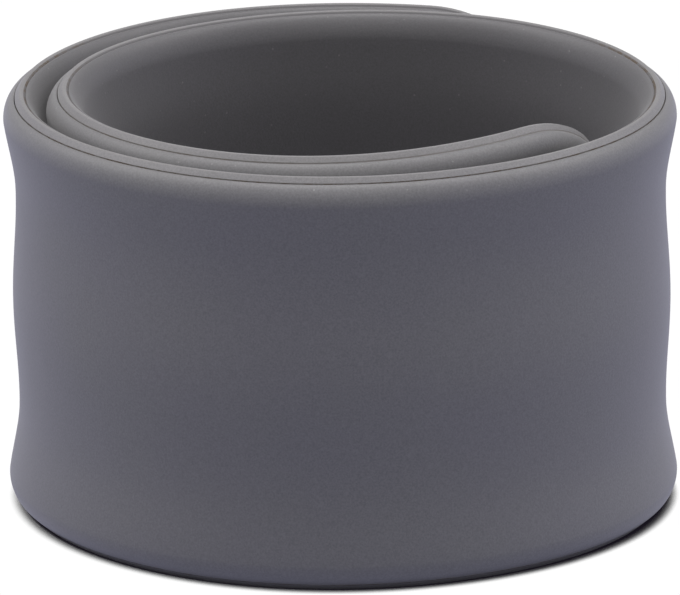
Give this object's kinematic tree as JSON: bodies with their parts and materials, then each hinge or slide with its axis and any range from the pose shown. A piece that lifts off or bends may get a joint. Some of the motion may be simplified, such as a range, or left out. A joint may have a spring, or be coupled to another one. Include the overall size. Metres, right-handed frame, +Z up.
{
  "type": "silicone slap wristband",
  "caption": "Plain silicone slap wristband, coiled round its open wrist hollow and resting on its lower edge.",
  "frame": {"origin": "centre of the coil's footprint, on the surface that its lower edge rests on", "axes": "+Z up along the wrist's hollow, across the strip's width; -Y is the front, +X the right as seen from the front"},
  "size_m": [0.0478, 0.0476, 0.0305],
  "materials": {
    "outer_silicone": "matte",
    "core_silicone": "matte",
    "inner_silicone": "matte"
  },
  "bodies": {
    "root": {"outer_skin": "outer_silicone", "core_layer": "core_silicone", "inner_skin": "inner_silicone"}
  },
  "joints": []
}
